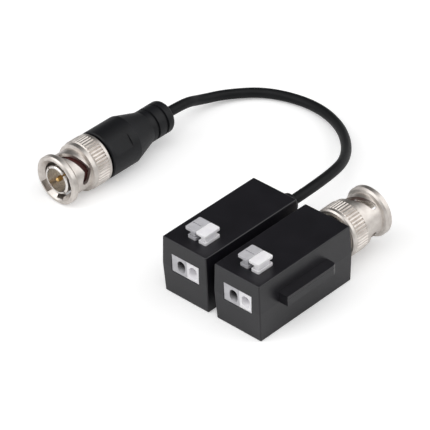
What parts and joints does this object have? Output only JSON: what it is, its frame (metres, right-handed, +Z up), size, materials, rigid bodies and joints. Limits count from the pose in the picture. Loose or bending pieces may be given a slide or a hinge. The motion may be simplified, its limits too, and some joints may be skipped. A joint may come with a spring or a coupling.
{
  "type": "video balun pair",
  "caption": "Joined pair of passive video baluns: push-lever wire terminals at the front, bayonet coax plug on the rear wall or on a short cord.",
  "frame": {"origin": "bottom centre of the two boxes with the plug on the right one", "axes": "+Z up, +Y towards the rear plug, -Y out of the wire entries, +X from the corded unit to the other"},
  "size_m": [0.0912, 0.0864, 0.0198],
  "materials": {
    "black_shell": "fine satin moulded texture",
    "board_laminate": "solder mask over glass laminate",
    "grey_terminal": "smooth moulded nylon, light grey",
    "white_terminal": "smooth moulded nylon, white",
    "spring_steel": "bright rolled strip",
    "tinned_brass": "tin plated",
    "ferrite": "sintered, dull",
    "enamelled_wire": "enamelled copper wire",
    "arrester_ceramic": "glazed ceramic with metal caps",
    "chip_ceramic": "glazed chip body",
    "nickel_plate": "bright nickel plate on turned brass",
    "red_silicone": "dark red silicone",
    "white_insulator": "turned dielectric, waxy white",
    "gold_plate": "gold plate",
    "gland_vinyl": "soft moulded vinyl, satin",
    "boot_vinyl": "soft moulded vinyl, satin",
    "cord_jacket": "smooth extruded vinyl jacket, satin"
  },
  "bodies": {
    "left_unit": {"left_lower_shell": "black_shell", "left_upper_shell": "black_shell", "left_circuit_board": "board_laminate", "left_grey_terminal_housing": "grey_terminal", "left_white_terminal_housing": "white_terminal", "left_grey_clamp_spring": "spring_steel", "left_white_clamp_spring": "spring_steel", "left_grey_contact": "tinned_brass", "left_white_contact": "tinned_brass", "left_transformer_core": "ferrite", "left_transformer_winding": "enamelled_wire", "left_surge_arrester": "arrester_ceramic", "left_chip_components": "chip_ceramic", "left_signal_lead": "tinned_brass", "left_plug_body": "nickel_plate", "left_gasket": "red_silicone", "left_wave_washer": "spring_steel", "left_retaining_ring": "spring_steel", "left_insulator": "white_insulator", "left_center_pin": "gold_plate", "cord_gland": "gland_vinyl", "plug_boot": "boot_vinyl", "cord": "cord_jacket"},
    "right_unit": {"right_lower_shell": "black_shell", "right_upper_shell": "black_shell", "right_circuit_board": "board_laminate", "right_grey_terminal_housing": "grey_terminal", "right_white_terminal_housing": "white_terminal", "right_grey_clamp_spring": "spring_steel", "right_white_clamp_spring": "spring_steel", "right_grey_contact": "tinned_brass", "right_white_contact": "tinned_brass", "right_transformer_core": "ferrite", "right_transformer_winding": "enamelled_wire", "right_surge_arrester": "arrester_ceramic", "right_chip_components": "chip_ceramic", "right_signal_lead": "tinned_brass", "right_plug_body": "nickel_plate", "right_gasket": "red_silicone", "right_wave_washer": "spring_steel", "right_retaining_ring": "spring_steel", "right_insulator": "white_insulator", "right_center_pin": "gold_plate"},
    "left_grey_lever": {"left_grey_lever": "grey_terminal"},
    "left_white_lever": {"left_white_lever": "white_terminal"},
    "left_coupling_nut": {"left_coupling_nut": "nickel_plate"},
    "right_grey_lever": {"right_grey_lever": "grey_terminal"},
    "right_white_lever": {"right_white_lever": "white_terminal"},
    "right_coupling_nut": {"right_coupling_nut": "nickel_plate"}
  },
  "joints": [
    {"name": "right_unit_slide", "type": "slide", "parent": "left_unit", "child": "right_unit", "axis": [0, -1, 0], "range_m": [0, 0.026]},
    {"name": "left_coupling_nut_turn", "type": "hinge", "parent": "left_unit", "child": "left_coupling_nut", "pos_m": [-0.066, -0.00956, 0.00715], "axis": [0, 1, 0], "continuous": true},
    {"name": "left_grey_lever_press", "type": "slide", "parent": "left_unit", "child": "left_grey_lever", "axis": [0, 0, -1], "range_m": [0, 0.0013], "stiffness_N_per_m": 2000, "springref_m": -0.0005},
    {"name": "left_white_lever_press", "type": "slide", "parent": "left_unit", "child": "left_white_lever", "axis": [0, 0, -1], "range_m": [0, 0.0013], "stiffness_N_per_m": 2000, "springref_m": -0.0005},
    {"name": "right_coupling_nut_turn", "type": "hinge", "parent": "right_unit", "child": "right_coupling_nut", "pos_m": [0.00755, 0.01795, 0.0094], "axis": [0, 1, 0], "continuous": true},
    {"name": "right_grey_lever_press", "type": "slide", "parent": "right_unit", "child": "right_grey_lever", "axis": [0, 0, -1], "range_m": [0, 0.0013], "stiffness_N_per_m": 2000, "springref_m": -0.0005},
    {"name": "right_white_lever_press", "type": "slide", "parent": "right_unit", "child": "right_white_lever", "axis": [0, 0, -1], "range_m": [0, 0.0013], "stiffness_N_per_m": 2000, "springref_m": -0.0005}
  ]
}
